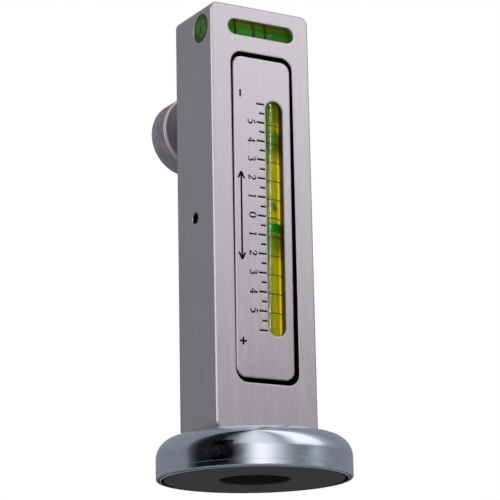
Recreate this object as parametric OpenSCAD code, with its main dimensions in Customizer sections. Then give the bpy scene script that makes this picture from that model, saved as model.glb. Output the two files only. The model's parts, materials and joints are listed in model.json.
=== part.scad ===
// Camber and caster gauge: an upright bar on a round magnet, with three spirit vials.
// The origin is the centre of the magnet's face, +Z runs up the bar and -Y is the front.

/* [Body] */
// Width of the bar, left to right
body_w = 33.1; // [31:0.1:40]
// Depth of the bar, front to back
body_d = 21.7; // [21.5:0.1:25]
// Height of the bar above the magnet cup
body_h = 126; // [120:1:150]
// Radius of the bar's corners, seen from the front
body_r = 2.4; // [1:0.1:4]
// Chamfer along the bar's front and back edges
body_chamfer = 0.4; // [0.2:0.1:0.8]
// How far the bar stands to the right of the magnet's centre
body_shift_x = -1.2; // [-2:0.1:2]
// How far the bar stands behind the magnet's centre
body_shift_y = 0.6; // [-2:0.1:2]

/* [Pocket] */
// Width of the pocket that the vial carriage rocks in
pocket_w = 20.8; // [20:0.1:22]
// Radius of the pocket's corners
pocket_r = 3.8; // [2:0.1:5]
// How far the pocket lies to the right of the bar's middle
pocket_shift = 0.3; // [-0.5:0.1:0.5]
// Solid height of the bar below the pocket
pocket_sill = 13.8; // [13:0.1:20]
// Solid height of the bar above the pocket
pocket_head = 14.2; // [13.5:0.1:20]
// Thickness of the wall behind the pocket
wall_t = 5.65; // [5:0.05:6]
// Height of that wall below the rear window
window_sill = 11.4; // [10:0.1:14]
// Height of that wall above the rear window
window_head = 32; // [28:0.5:36]

/* [Carriage] */
// Gap between a plate and the pocket's sides
side_gap = 0.8; // [0.3:0.05:0.9]
// Gap above the front plate
top_gap = 1.2; // [1:0.1:2]
// Gap below the front plate
bottom_gap = 1.7; // [1:0.1:2.5]
// Gap above and below the rear plate
window_gap = 1.3; // [1:0.1:2]
// Room behind the block for it to rock in
swing_gap = 2.6; // [2.4:0.1:3]
// Thickness of the front and rear plates
plate_t = 5; // [4.6:0.1:5.2]
// How deep the plates lie below the bar's faces at the pivot
plate_recess = 0.6; // [0.3:0.1:1]
// Chamfer around a plate's face
plate_chamfer = 0.25; // [0.2:0.05:0.6]
// Tilt of the carriage as the gauge is shown, top outwards, in degrees
rest_tilt = 0.6; // [-1.5:0.1:1.5]
// Diameter of the pivot screws' points
pivot_d = 3.5; // [3:0.1:4]
// How far a pivot screw reaches into the block
pivot_reach = 2.5; // [2:0.1:3]
// Length of a pivot screw
pivot_len = 6; // [5:0.1:6.2]
// Across flats of a pivot screw's socket
pivot_key = 1.8; // [1.5:0.1:2]

/* [Scales] */
// Width of the slots that show the vials
slot_w = 5.7; // [4.5:0.05:6]
// How far a slot lies to the right of its plate's middle
slot_shift = 4; // [3.6:0.1:4.2]
// Plate left above and below the front slot
slot_margin = 12.5; // [11.5:0.1:16]
// Plate left above and below the rear slot
rear_slot_margin = 9; // [8:0.1:12]
// Travel of the front bubble for each degree
camber_degree = 5.6; // [5:0.1:6.5]
// Travel of the rear bubble for each degree
caster_degree = 2.5; // [2.2:0.1:2.8]
// Plate left between a slot and its scale marks
mark_gap = 0.45; // [0.3:0.05:0.6]
// Length of a long scale mark
mark_long = 2.6; // [2:0.1:3]
// Length of a short scale mark
mark_short = 1.7; // [1:0.05:1.9]
// Width of a scale mark
mark_w = 0.4; // [0.2:0.05:0.5]
// Depth of a scale mark
mark_depth = 0.15; // [0.1:0.05:0.3]

/* [Vials] */
// Outer diameter of the camber and caster vials
vial_d = 8; // [7.6:0.1:8.2]
// Bore of the camber and caster vials
vial_bore = 6; // [5.4:0.1:6.4]
// Block left beyond each end of the camber vial
camber_vial_margin = 6.5; // [6:0.1:8]
// Block left beyond each end of the caster vial
caster_vial_margin = 5; // [4.8:0.1:6]
// Length of a vial's end plug
vial_plug = 2.5; // [2:0.1:4]
// Diameter of the camber and caster bubbles
bubble_d = 4.6; // [3.6:0.1:4.8]
// Length of the camber bubble
camber_bubble_len = 10; // [8:0.5:12]
// Length of the caster bubble
caster_bubble_len = 7; // [6:0.5:8]
// How far the camber bubble stands above its zero as shown
camber_bubble_rest = 0.8; // [-2:0.1:2]

/* [Cross level] */
// Outer diameter of the cross vial
cross_d = 8.5; // [7.8:0.1:8.6]
// Bore of the cross vial
cross_bore = 6.2; // [5.6:0.1:6.6]
// Distance of the cross vial's axis below the bar's top
cross_drop = 6.8; // [6.4:0.1:7.2]
// Distance of the cross vial's axis in front of the bar's middle
cross_forward = 4.7; // [4:0.1:5]
// How far the cross vial's ends are sunk below the bar's sides
cross_sink = 0.25; // [0.1:0.05:1]
// Length of the cross vial's end plugs
cross_plug = 3; // [2:0.5:5]
// Length of the slot in front of the cross vial
cross_slot_len = 22.2; // [20:0.1:24]
// Height of that slot
cross_slot_h = 4.8; // [4:0.1:5.4]
// Diameter of the cross bubble
cross_bubble_d = 4.8; // [4:0.1:5]
// Length of the cross bubble
cross_bubble_len = 7.4; // [6:0.1:9]
// How far the cross bubble stands to the right of the bar's middle as shown
cross_bubble_rest = -3.4; // [-4:0.1:4]

/* [Adjusting knob] */
// Distance of the adjusting screw below the pocket's top
knob_drop = 13.1; // [11:0.1:14]
// Diameter of the knurled head
knob_d = 23.6; // [20:0.1:26]
// Thickness of the knurled head
knob_t = 9; // [6:0.1:10]
// Chamfer of the knurled head
knob_chamfer = 0.6; // [0.5:0.1:1.5]
// Diameter of the collar under the head
collar_d = 12; // [10:0.5:13]
// Length of the collar
collar_len = 5; // [3:0.5:6]
// Diameter of the screw's thread
thread_d = 6; // [5:0.5:6]
// Diameter of the screw's round nose
nose_d = 4; // [3:0.5:4.5]
// Length of the nose below the thread
nose_len = 2.6; // [2.5:0.1:3]
// Gap between the nose and the thrust button
nose_gap = 0.1; // [0.05:0.05:0.2]
// Diameter of the thrust button
button_d = 6; // [5:0.5:7]
// Length of the thrust button
button_len = 2.9; // [2:0.1:3.2]
// How far the thrust button stands out of the block
button_stand = 0.4; // [0.2:0.1:0.6]
// Outer diameter of the washer under the collar
washer_d = 13; // [12:0.5:16]
// Thickness of that washer
washer_t = 1; // [0.8:0.1:1.6]
// Outer diameter of the spring on the screw
knob_spring_d = 9.6; // [9:0.1:11]
// Wire of that spring
knob_spring_wire = 1.1; // [0.8:0.1:1.3]
// Length of that spring as shown
knob_spring_len = 10.6; // [9:0.1:12]
// Turns of that spring
knob_spring_turns = 5; // [4:1:5]
// Outer diameter of the return spring
return_spring_d = 4.8; // [4.4:0.1:5]
// Wire of the return spring
return_spring_wire = 0.6; // [0.5:0.1:0.7]
// Depth of the return spring's seat in the block
seat_depth = 3; // [2.5:0.1:3]
// Wall left behind the return spring's other seat
seat_wall = 1.6; // [1:0.1:2]
// Turns of the return spring
return_spring_turns = 7; // [5:1:7]
// Distance of the return spring above the plate's lower edge
return_spring_rise = 5; // [4:0.1:6]

/* [Magnet] */
// Radius of the magnet cup
cup_r = 28; // [26:0.5:32]
// Height of the magnet cup
cup_h = 12; // [11.5:0.1:14]
// Radius of the cup's shoulder
cup_shoulder = 6; // [4:0.1:7]
// Radius of the cup's lip
cup_lip = 0.6; // [0.3:0.1:0.65]
// Thickness of the cup's wall
cup_wall = 1.4; // [1:0.1:2]
// Thickness of the cup's roof
cup_roof = 2.2; // [1.5:0.1:2.6]
// Height of the fine groove around the cup
cup_groove_z = 1.8; // [1.2:0.1:3]
// Width of that groove
cup_groove_w = 0.25; // [0.15:0.05:0.4]
// Depth of that groove
cup_groove_depth = 0.2; // [0.1:0.05:0.3]
// Gap between the ring magnet and the cup
magnet_gap = 0.75; // [0.3:0.05:1]
// Diameter of the hole through the ring magnet
magnet_hole_d = 20.2; // [18:0.1:22]
// Chamfer of the ring magnet
magnet_chamfer = 0.3; // [0.2:0.1:0.6]
// Thread diameter of the screw that holds the cup
base_screw_d = 8; // [6:0.5:8]
// Length of that screw under its head
base_screw_len = 14; // [12:0.5:14]
// Diameter of that screw's head
base_head_d = 13; // [12:0.5:14]
// Height of that screw's head
base_head_h = 4.2; // [4:0.1:4.6]
// Across flats of that screw's socket
base_key = 5; // [4:0.5:5]
// Outer diameter of the washer under that head
base_washer_d = 16; // [15:0.5:17.5]
// Thickness of that washer
base_washer_t = 1.6; // [1.2:0.1:1.8]

/* [Plate screws] */
// Thread diameter of the plate screws
screw_d = 2.5; // [2:0.1:2.5]
// Head diameter of the plate screws
screw_head_d = 4.5; // [4:0.1:4.5]
// Head height of the plate screws
screw_head_h = 2; // [1.6:0.1:2.2]
// Across flats of the plate screws' sockets
screw_key = 2; // [1.5:0.1:2]
// How far a plate screw reaches into its plate
screw_bite = 3.2; // [2.5:0.1:3.4]
// Distance of the plate screws from the ends of their plate
screw_inset = 3; // [2.9:0.1:3.2]
// Distance of the plate screws from the plate's middle
screw_spread = 6.2; // [6:0.1:6.6]

/* [Hidden] */
$fn = 96;

// One overrun for all cuts, and the clearances of the fits
overrun = 1;
run_gap = 0.05;
seat_gap = 0.05;
clear_gap = 0.25;
rest_gap = 0.15;
// Chamfer of the carriage block and the small round parts
edge_break = 0.2;
// Shares of a hexagon and of a socket's depth in its head
hex_share = 2 / sqrt(3);
socket_share = 0.55;
// Each turn of a coil spring is drawn with this many rings of this many sides
spring_rings = 8;
spring_sides = 6;

// Heights of the bar and its pocket
body_top = cup_h + body_h;
pocket_z0 = cup_h + pocket_sill;
pocket_z1 = body_top - pocket_head;
pocket_len = pocket_z1 - pocket_z0;
pivot_z = (pocket_z0 + pocket_z1) / 2;
window_z0 = pocket_z0 + window_sill;
window_z1 = pocket_z1 - window_head;
cross_z = body_top - cross_drop;
knob_z = pocket_z1 - knob_drop;

// Depths of the bar, from its middle
face_y = body_d / 2;
wall_y = face_y - wall_t;
cross_y = -cross_forward;

// The carriage, measured from its pivot
plate_w = pocket_w - 2 * side_gap;
plate_r = pocket_r - side_gap;
plate_face = face_y - plate_recess;
plate_back = plate_face - plate_t;
block_back = wall_y - swing_gap;
camber_z0 = bottom_gap - pocket_len / 2;
camber_z1 = pocket_len / 2 - top_gap;
caster_z0 = window_z0 - pivot_z + window_gap;
caster_z1 = window_z1 - pivot_z - window_gap;
camber_mid = (camber_z0 + camber_z1) / 2;
caster_mid = (caster_z0 + caster_z1) / 2;
camber_vial_len = camber_z1 - camber_z0 - 2 * camber_vial_margin;
caster_vial_len = caster_z1 - caster_z0 - 2 * caster_vial_margin;
camber_slot_len = camber_z1 - camber_z0 - 2 * slot_margin;
caster_slot_len = caster_z1 - caster_z0 - 2 * rear_slot_margin;
lever = knob_z - pivot_z;
button_y = block_back + button_stand;
seat_z = camber_z0 + return_spring_rise;
seat_d = return_spring_d + 2 * clear_gap;

// The return spring's ends, measured from the bar's middle with the carriage at rest
seat_y0 = (block_back - seat_depth) * cos(rest_tilt) - seat_z * sin(rest_tilt);
seat_y1 = face_y - seat_wall;

// The adjusting screw, measured from the bar's middle
nose_y = button_y * cos(rest_tilt) - lever * sin(rest_tilt) + nose_gap;
washer_y = face_y + knob_spring_len;
collar_y = washer_y + washer_t;
head_y = collar_y + collar_len;
knob_end_y = head_y + knob_t;

// The magnet's screw
roof_z = cup_h - cup_roof;
base_head_z = roof_z - base_washer_t;
base_screw_top = base_head_z + base_screw_len;

// Places and simple shapes
module in_body()
    translate([body_shift_x, body_shift_y, 0]) children();

module on_carriage()
    in_body() translate([pocket_shift, 0, pivot_z]) rotate([rest_tilt, 0, 0]) children();

module rod_x(d, x0, x1, y, z)
    translate([x0, y, z]) rotate([0, 90, 0]) cylinder(d = d, h = x1 - x0);

module rod_y(d, y0, y1, x, z)
    translate([x, y0, z]) rotate([-90, 0, 0]) cylinder(d = d, h = y1 - y0);

module rod_z(d, z0, z1, x, y)
    translate([x, y, z0]) cylinder(d = d, h = z1 - z0);

function chamfered(half, t, c) = [
    [-half + c, 0], [half - c, 0], [half, c], [half, t - c],
    [half - c, t], [-half + c, t], [-half, t - c], [-half, c]
];

// Upright slab of thickness t from y0 back, with round corners and chamfered edges
module slab(w, z0, z1, y0, t, r, c) {
    h = z1 - z0;
    translate([0, y0, z0]) {
        translate([0, 0, r]) linear_extrude(h - 2 * r) polygon(chamfered(w / 2, t, c));
        translate([r - w / 2, 0, h / 2]) rotate([0, 90, 0])
            linear_extrude(w - 2 * r) polygon(chamfered(h / 2, t, c));
        for (x = [r - w / 2, w / 2 - r], z = [r, h - r])
            translate([x, 0, z]) rotate([-90, 0, 0]) rotate_extrude()
                polygon([[0, 0], [r - c, 0], [r, c], [r, t - c], [r - c, t], [0, t]]);
    }
}

// Cut with round corners through y0 to y1
module pocket_cut(w, z0, z1, y0, y1, r) {
    translate([-w / 2, y0, z0 + r]) cube([w, y1 - y0, z1 - z0 - 2 * r]);
    if (w > 2 * r) translate([r - w / 2, y0, z0]) cube([w - 2 * r, y1 - y0, z1 - z0]);
    for (x = [r - w / 2, w / 2 - r], z = [z0 + r, z1 - r]) rod_y(2 * r, y0, y1, x, z);
}

// Socket screw along +Y with its head's top at y0
module socket_screw(d, head_d, head_h, len, key, y0, x, z) {
    difference() {
        union() {
            rod_y(head_d, y0, y0 + head_h, x, z);
            rod_y(d, y0 + head_h / 2, y0 + head_h + len, x, z);
        }
        translate([x, y0 - overrun, z]) rotate([-90, 0, 0])
            cylinder(d = key * hex_share, h = overrun + head_h * socket_share, $fn = 6);
    }
}

// Round-ended bubble of the length len along Z
module bubble(d, len) {
    translate([0, 0, (d - len) / 2]) cylinder(d = d, h = len - d);
    for (z = [(d - len) / 2, (len - d) / 2]) translate([0, 0, z]) sphere(d = d);
}

// Helix along +Y that starts half a wire from y = 0, as one closed tube
function helix(len, d, wire, turns, i) =
    let (a = 360 * i / spring_rings, r = (d - wire) / 2)
    [r * cos(a), wire / 2 + (len - wire) * i / (turns * spring_rings), r * sin(a)];

function spring_ring(len, d, wire, turns, i) =
    let (
        a = 360 * i / spring_rings,
        climb = (len - wire) / turns,
        around = PI * (d - wire),
        out = [cos(a), 0, sin(a)],
        up = [climb * sin(a), around, -climb * cos(a)] / norm([climb, around])
    )
    [for (k = [0 : spring_sides - 1])
        helix(len, d, wire, turns, i)
        + wire / 2 * (cos(360 * k / spring_sides) * out + sin(360 * k / spring_sides) * up)];

module coil_spring(len, d, wire, turns) {
    last = turns * spring_rings;
    points = [for (i = [0 : last]) each spring_ring(len, d, wire, turns, i)];
    sides = [for (i = [0 : last - 1], k = [0 : spring_sides - 1])
        let (a = i * spring_sides + k, b = i * spring_sides + (k + 1) % spring_sides)
        each [[a, b, b + spring_sides], [a, b + spring_sides, a + spring_sides]]];
    ends = [for (k = [1 : spring_sides - 2])
        each [[0, k + 1, k], last * spring_sides * [1, 1, 1] + [0, k, k + 1]]];
    gaps = [for (i = [0 : last - spring_rings], j = [i + spring_rings - 2 : last])
        norm(helix(len, d, wire, turns, i) - helix(len, d, wire, turns, j)) - wire];
    echo("least gap between the turns of a spring, in mm", min(gaps));
    polyhedron(points, concat(sides, ends));
}

// Marks of a scale: long at each degree, short at each half where there is room
module scale_marks(step, count, mid, slot_edge, y0, toward, halves) {
    inner = slot_edge + toward * mark_gap;
    for (i = [-count * halves : count * halves])
        let (long = i % halves == 0, len = long ? mark_long : mark_short)
        translate([toward > 0 ? inner : inner - len, y0, mid + i * step / halves - mark_w / 2])
            cube([len, 2 * mark_depth, mark_w]);
}

// How far a bubble's middle stands out from the middle of its bore
function bubble_rise(bore, d) = (bore - d) / 2 - run_gap;

// Crescent of fluid behind the bubble's track, along Z, open towards -Y
module fluid(bore, len, d) {
    difference() {
        translate([0, 0, -len / 2]) cylinder(d = bore, h = len);
        translate([0, -bubble_rise(bore, d), -len / 2 - overrun])
            cylinder(d = d + 4 * run_gap, h = len + 2 * overrun);
    }
}

// Bar
module body_frame() {
    color("silver") in_body() difference() {
        slab(body_w, cup_h, body_top, -face_y, body_d, body_r, body_chamfer);
        translate([pocket_shift, 0, 0]) {
            pocket_cut(pocket_w, pocket_z0, pocket_z1, -face_y - overrun, wall_y, pocket_r);
            pocket_cut(pocket_w, window_z0, window_z1, wall_y - overrun, face_y + overrun, pocket_r);
            translate([0, -face_y - overrun, cross_z]) {
                translate([-cross_slot_len / 2 + cross_slot_h / 2, 0, -cross_slot_h / 2])
                    cube([cross_slot_len - cross_slot_h, face_y + overrun + cross_y, cross_slot_h]);
                for (x = [-1, 1] * (cross_slot_len - cross_slot_h) / 2)
                    rod_y(cross_slot_h, 0, face_y + overrun + cross_y, x, 0);
            }
        }
        rod_x(cross_d + 2 * seat_gap, -body_w / 2 - overrun, body_w / 2 + overrun, cross_y, cross_z);
        rod_x(pivot_d, -body_w / 2 - overrun, body_w / 2 + overrun, 0, pivot_z);
        rod_y(thread_d + 2 * run_gap, wall_y - overrun, face_y + overrun, 0, knob_z);
        rod_y(seat_d, wall_y - overrun, seat_y1, pocket_shift, pivot_z + seat_z);
        rod_z(base_screw_d, cup_h - overrun, base_screw_top + clear_gap, -body_shift_x, -body_shift_y);
    }
}

module pivot_screws() {
    reach = plate_w / 2 - pivot_reach;
    color("dimgray") in_body() translate([pocket_shift, 0, pivot_z])
        for (half = [0, 1]) mirror([half, 0, 0]) difference() {
            rod_x(pivot_d, reach, reach + pivot_len, 0, 0);
            translate([reach + pivot_len - pivot_key, 0, 0]) rotate([0, 90, 0])
                cylinder(d = pivot_key * hex_share, h = pivot_key + overrun, $fn = 6);
        }
}

// Cross level
module at_cross_vial()
    in_body() translate([0, cross_y, cross_z]) rotate([0, 90, 0]) children();

module cross_vial_tube() {
    len = body_w - 2 * cross_sink;
    color("honeydew", 0.4) at_cross_vial() difference() {
        translate([0, 0, -len / 2]) cylinder(d = cross_d, h = len);
        translate([0, 0, -len / 2 - overrun]) cylinder(d = cross_bore, h = len + 2 * overrun);
    }
}

module cross_vial_plugs() {
    color("limegreen") at_cross_vial()
        for (z = [-body_w / 2 + cross_sink, body_w / 2 - cross_sink - cross_plug])
            translate([0, 0, z]) cylinder(d = cross_bore, h = cross_plug);
}

module cross_vial_fluid() {
    color("green", 0.6) at_cross_vial()
        fluid(cross_bore, body_w - 2 * cross_sink - 2 * cross_plug, cross_bubble_d);
}

module cross_bubble() {
    color("palegreen") at_cross_vial()
        translate([0, -bubble_rise(cross_bore, cross_bubble_d), cross_bubble_rest])
            bubble(cross_bubble_d, cross_bubble_len);
}

// Carriage
module vial_groove(x, y, len, mid)
    rod_z(vial_d + 2 * seat_gap, mid - len / 2, mid + len / 2, x, y);

module carriage_block() {
    color("darkgray") on_carriage() difference() {
        union() {
            slab(plate_w, camber_z0, camber_z1, -plate_back, plate_back + block_back, plate_r, edge_break);
            slab(plate_w, caster_z0, caster_z1, -plate_back, 2 * plate_back, plate_r, edge_break);
        }
        vial_groove(slot_shift, -plate_back, camber_vial_len, camber_mid);
        vial_groove(-slot_shift, plate_back, caster_vial_len, caster_mid);
        for (half = [0, 1]) mirror([half, 0, 0])
            rod_x(pivot_d + 2 * run_gap, plate_w / 2 - pivot_reach - clear_gap, plate_w / 2 + overrun, 0, 0);
        rod_y(button_d, button_y - button_len, block_back + overrun, -pocket_shift, lever);
        rod_y(seat_d, block_back - seat_depth, block_back + overrun, 0, seat_z);
        for (x = [-1, 1] * screw_spread, z = [camber_z0 + screw_inset, camber_z1 - screw_inset]) {
            rod_y(screw_d, -plate_back - overrun, block_back, x, z);
            rod_y(screw_head_d + 2 * clear_gap, block_back - screw_head_h, block_back + overrun, x, z);
        }
        for (z = [caster_z0 + screw_inset, caster_z1 - screw_inset]) {
            rod_y(screw_d, -plate_back, plate_back + overrun, -screw_spread, z);
            rod_y(screw_head_d + 2 * clear_gap, -plate_back - overrun, screw_head_h - plate_back, -screw_spread, z);
        }
    }
}

module camber_plate() {
    count = floor(camber_slot_len / 2 / camber_degree);
    color("gainsboro") on_carriage() difference() {
        slab(plate_w, camber_z0, camber_z1, -plate_face, plate_t, plate_r, plate_chamfer);
        vial_groove(slot_shift, -plate_back, camber_vial_len, camber_mid);
        translate([slot_shift, 0, 0]) pocket_cut(slot_w, camber_mid - camber_slot_len / 2,
            camber_mid + camber_slot_len / 2, -plate_face - overrun, -plate_back, slot_w / 2);
        scale_marks(camber_degree, count, camber_mid, slot_shift - slot_w / 2, -plate_face - mark_depth, -1, 2);
        for (x = [-1, 1] * screw_spread, z = [camber_z0 + screw_inset, camber_z1 - screw_inset])
            rod_y(screw_d, -plate_back - screw_bite, -plate_back + overrun, x, z);
    }
}

module caster_plate() {
    count = floor(caster_slot_len / 2 / caster_degree);
    color("gainsboro") on_carriage() difference() {
        slab(plate_w, caster_z0, caster_z1, plate_back, plate_t, plate_r, plate_chamfer);
        vial_groove(-slot_shift, plate_back, caster_vial_len, caster_mid);
        translate([-slot_shift, 0, 0]) pocket_cut(slot_w, caster_mid - caster_slot_len / 2,
            caster_mid + caster_slot_len / 2, plate_back, plate_face + overrun, slot_w / 2);
        scale_marks(caster_degree, count, caster_mid, slot_w / 2 - slot_shift, plate_face - mark_depth, 1, 1);
        for (z = [caster_z0 + screw_inset, caster_z1 - screw_inset])
            rod_y(screw_d, plate_back - overrun, plate_back + screw_bite, -screw_spread, z);
    }
}

module camber_plate_screws() {
    color("gray") on_carriage() mirror([0, 1, 0])
        for (x = [-1, 1] * screw_spread, z = [camber_z0 + screw_inset, camber_z1 - screw_inset])
            socket_screw(screw_d, screw_head_d, screw_head_h,
                block_back + plate_back + screw_bite - screw_head_h, screw_key, -block_back, x, z);
}

module caster_plate_screws() {
    color("gray") on_carriage()
        for (z = [caster_z0 + screw_inset, caster_z1 - screw_inset])
            socket_screw(screw_d, screw_head_d, screw_head_h,
                2 * plate_back + screw_bite - screw_head_h, screw_key, -plate_back, -screw_spread, z);
}

// Vial at x and y of the carriage, of the length len about mid
module vial_tube(x, y, len, mid) {
    color("honeydew", 0.4) on_carriage() difference() {
        rod_z(vial_d, mid - len / 2, mid + len / 2, x, y);
        rod_z(vial_bore, mid - len / 2 - overrun, mid + len / 2 + overrun, x, y);
    }
}

module vial_plugs(x, y, len, mid) {
    color("olivedrab") on_carriage()
        for (z = [mid - len / 2, mid + len / 2 - vial_plug]) rod_z(vial_bore, z, z + vial_plug, x, y);
}

// Fluid and bubble lie towards the face that side names: -1 is the front
module vial_fluid(x, y, len, mid, side) {
    color("yellowgreen", 0.6) on_carriage() translate([x, y, mid])
        rotate([0, 0, side < 0 ? 0 : 180]) fluid(vial_bore, len - 2 * vial_plug, bubble_d);
}

module vial_bubble(x, y, len, z, side) {
    color("palegreen") on_carriage()
        translate([x, y + side * bubble_rise(vial_bore, bubble_d), z]) bubble(bubble_d, len);
}

module camber_vial_tube() vial_tube(slot_shift, -plate_back, camber_vial_len, camber_mid);
module camber_vial_plugs() vial_plugs(slot_shift, -plate_back, camber_vial_len, camber_mid);
module camber_vial_fluid() vial_fluid(slot_shift, -plate_back, camber_vial_len, camber_mid, -1);
module camber_bubble()
    vial_bubble(slot_shift, -plate_back, camber_bubble_len, camber_mid + camber_bubble_rest, -1);
module caster_vial_tube() vial_tube(-slot_shift, plate_back, caster_vial_len, caster_mid);
module caster_vial_plugs() vial_plugs(-slot_shift, plate_back, caster_vial_len, caster_mid);
module caster_vial_fluid() vial_fluid(-slot_shift, plate_back, caster_vial_len, caster_mid, 1);
module caster_bubble() vial_bubble(-slot_shift, plate_back, caster_bubble_len, caster_mid, 1);

module thrust_button() {
    color("dimgray") on_carriage()
        rod_y(button_d, button_y - button_len, button_y, -pocket_shift, lever);
}

module return_spring() {
    len = seat_y1 - seat_y0 - 2 * rest_gap;
    color("gray") in_body() translate([pocket_shift, seat_y0 + rest_gap, pivot_z + seat_z])
        coil_spring(len, return_spring_d, return_spring_wire, return_spring_turns);
}

// Adjusting knob
module adjusting_screw() {
    color("silver") in_body() {
        translate([0, nose_y + nose_d / 2, knob_z]) sphere(d = nose_d);
        rod_y(nose_d, nose_y + nose_d / 2, nose_y + nose_len, 0, knob_z);
        rod_y(thread_d, nose_y + nose_len, knob_end_y - knob_chamfer, 0, knob_z);
    }
}

module knob_head() {
    r = knob_d / 2;
    color("lightgray") in_body() translate([0, collar_y, knob_z]) rotate([-90, 0, 0]) rotate_extrude()
        polygon([
            [thread_d / 2, 0], [collar_d / 2 - edge_break, 0], [collar_d / 2, edge_break],
            [collar_d / 2, collar_len], [r - knob_chamfer, collar_len],
            [r, collar_len + knob_chamfer], [r, collar_len + knob_t - knob_chamfer],
            [r - knob_chamfer, collar_len + knob_t], [thread_d / 2, collar_len + knob_t]
        ]);
}

module knob_washer() {
    color("silver") in_body() difference() {
        rod_y(washer_d, washer_y, collar_y, 0, knob_z);
        rod_y(thread_d + 2 * clear_gap, washer_y - overrun, collar_y + overrun, 0, knob_z);
    }
}

module knob_spring() {
    color("gray") in_body() translate([0, face_y + rest_gap, knob_z])
        coil_spring(knob_spring_len - 2 * rest_gap, knob_spring_d, knob_spring_wire, knob_spring_turns);
}

// Magnet
module magnet_cup() {
    color("lightsteelblue") rotate_extrude() difference() {
        union() {
            square([cup_r - cup_shoulder, cup_h]);
            translate([0, cup_lip]) square([cup_r, cup_h - cup_shoulder - cup_lip]);
            translate([cup_r - cup_shoulder, cup_h - cup_shoulder]) circle(r = cup_shoulder);
            square([cup_r - cup_lip, cup_h / 2]);
            translate([cup_r - cup_lip, cup_lip]) circle(r = cup_lip);
        }
        translate([0, -overrun]) square([cup_r - cup_wall, roof_z + overrun]);
        translate([0, -overrun]) square([base_screw_d / 2 + clear_gap, cup_h + 2 * overrun]);
        translate([cup_r - cup_groove_depth, cup_groove_z]) square([cup_groove_depth + overrun, cup_groove_w]);
    }
}

module ring_magnet() {
    r = cup_r - cup_wall - magnet_gap;
    bore = magnet_hole_d / 2;
    c = magnet_chamfer;
    color([0.16, 0.16, 0.17]) rotate_extrude()
        polygon([[bore + c, 0], [r - c, 0], [r, c], [r, roof_z], [bore, roof_z], [bore, c]]);
}

module base_screw() {
    color("dimgray") translate([0, 0, base_head_z]) rotate([90, 0, 0])
        socket_screw(base_screw_d, base_head_d, base_head_h, base_screw_len, base_key, -base_head_h, 0, 0);
}

module base_washer() {
    color("silver") difference() {
        rod_z(base_washer_d, base_head_z, roof_z, 0, 0);
        rod_z(base_screw_d + 2 * clear_gap, base_head_z - overrun, roof_z + overrun, 0, 0);
    }
}

body_frame();
pivot_screws();
cross_vial_tube();
cross_vial_fluid();
cross_vial_plugs();
cross_bubble();
carriage_block();
camber_plate();
camber_plate_screws();
caster_plate();
caster_plate_screws();
camber_vial_tube();
camber_vial_fluid();
camber_vial_plugs();
camber_bubble();
caster_vial_tube();
caster_vial_fluid();
caster_vial_plugs();
caster_bubble();
thrust_button();
return_spring();
adjusting_screw();
knob_head();
knob_washer();
knob_spring();
magnet_cup();
ring_magnet();
base_screw();
base_washer();
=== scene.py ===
"""Looks of a camber and caster gauge: an upright brushed bar on a round magnet, with spirit vials.

The frame's origin is the centre of the magnet's face, +Z runs up the bar and -Y is the front.
Lengths are in millimetres until make() turns them into metres.
"""

import json
import math

import bmesh
import bpy
from mathutils import Matrix, Vector

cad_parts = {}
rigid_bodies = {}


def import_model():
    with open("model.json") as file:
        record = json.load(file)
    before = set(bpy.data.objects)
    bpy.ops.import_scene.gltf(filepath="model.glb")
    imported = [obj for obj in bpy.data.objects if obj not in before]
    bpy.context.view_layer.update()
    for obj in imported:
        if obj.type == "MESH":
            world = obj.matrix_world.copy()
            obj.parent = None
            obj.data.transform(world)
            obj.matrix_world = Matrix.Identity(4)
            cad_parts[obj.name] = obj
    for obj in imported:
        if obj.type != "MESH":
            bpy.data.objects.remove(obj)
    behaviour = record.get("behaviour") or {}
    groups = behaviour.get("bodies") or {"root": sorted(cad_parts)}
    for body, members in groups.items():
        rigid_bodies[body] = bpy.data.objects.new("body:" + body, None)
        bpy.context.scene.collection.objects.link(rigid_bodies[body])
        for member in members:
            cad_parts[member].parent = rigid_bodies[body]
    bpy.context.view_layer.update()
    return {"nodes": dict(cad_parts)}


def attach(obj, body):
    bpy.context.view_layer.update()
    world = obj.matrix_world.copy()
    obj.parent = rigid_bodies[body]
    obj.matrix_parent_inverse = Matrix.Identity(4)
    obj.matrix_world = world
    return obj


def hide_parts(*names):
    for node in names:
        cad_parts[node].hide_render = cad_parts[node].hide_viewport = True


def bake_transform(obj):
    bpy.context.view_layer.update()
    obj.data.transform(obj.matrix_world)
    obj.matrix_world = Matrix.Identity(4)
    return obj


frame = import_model()

MM = 0.001

# The bar's middle, the carriage's pivot and its lean at rest, in the frame
BAR = Vector((-1.2, 0.6, 0.0))
PIVOT = Vector((-0.9, 0.6, 74.8))
REST_TILT = math.radians(0.6)

# The bar's front face and the wall behind its pocket, from its middle
FACE_Y = 10.85
WALL_Y = 5.2
# The pocket, the window in the back and a box that holds the pivot bores, from the bar's middle
POCKET_X = 0.3
POCKET_HALF = 10.4
POCKET_Z = (25.8, 123.8)
WINDOW_Z = (37.2, 91.8)
BORES = ((-16.2, -2.2, 72.0), (16.3, 2.2, 77.6))

# The plates' faces and half width, from the carriage's pivot, and a depth that lies well behind them
PLATE_FACE = 10.25
PLATE_HALF = 9.55
BEHIND_PLATE = 5.0
# How far painted light and shade reach past their walls, and how deep below a face they start
SKIN = 0.05
SLOT_SKIN = 0.03
BAR_RIM = 0.25
PLATE_RIM = 0.28
SLOT_RIM = 0.3

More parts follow.
